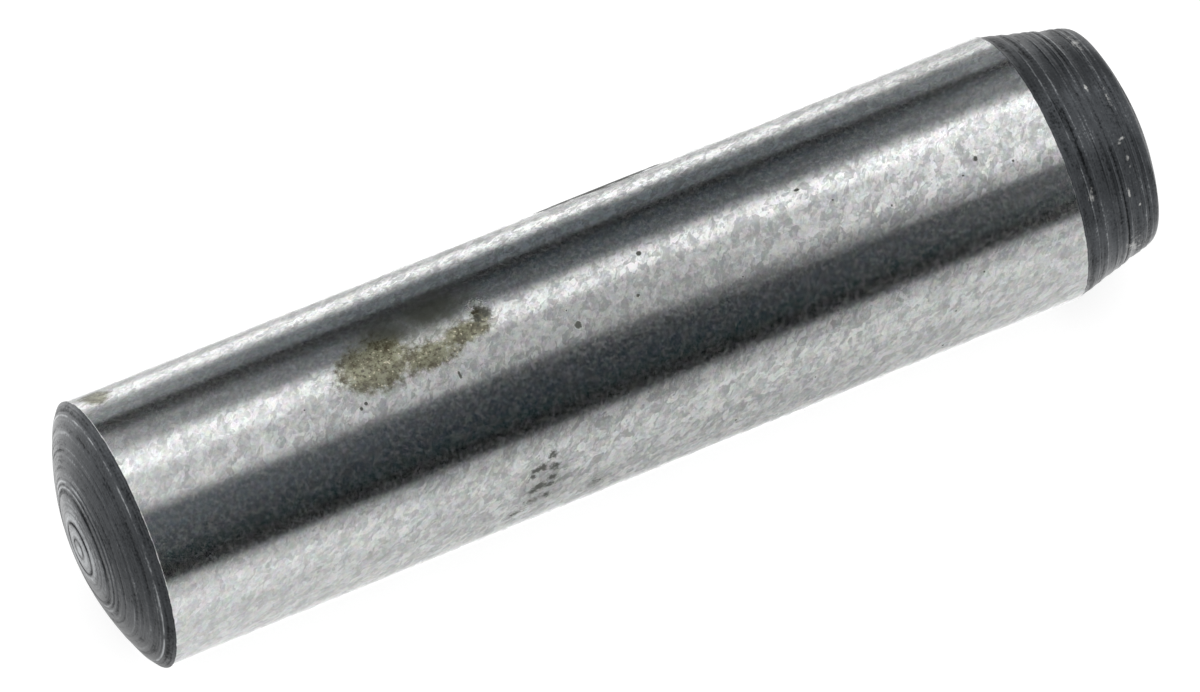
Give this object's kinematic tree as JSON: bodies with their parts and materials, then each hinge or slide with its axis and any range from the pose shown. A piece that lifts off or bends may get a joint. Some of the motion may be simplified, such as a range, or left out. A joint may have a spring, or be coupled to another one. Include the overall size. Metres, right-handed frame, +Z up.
{
  "type": "dowel pin",
  "caption": "Round hardened steel dowel pin with a ground shank, a crowned end and a tapered lead end, for locating two drilled parts.",
  "frame": {"origin": "on the pin's axis, halfway along the ground shank", "axes": "+X along the axis towards the tapered lead end, -X towards the crowned end, +Z up with the pin lying down"},
  "size_m": [0.033, 0.008, 0.008],
  "materials": {
    "hardened_steel": "satin ground shank, dark turned ends"
  },
  "bodies": {
    "root": {"dowel_pin": "hardened_steel"}
  },
  "joints": []
}
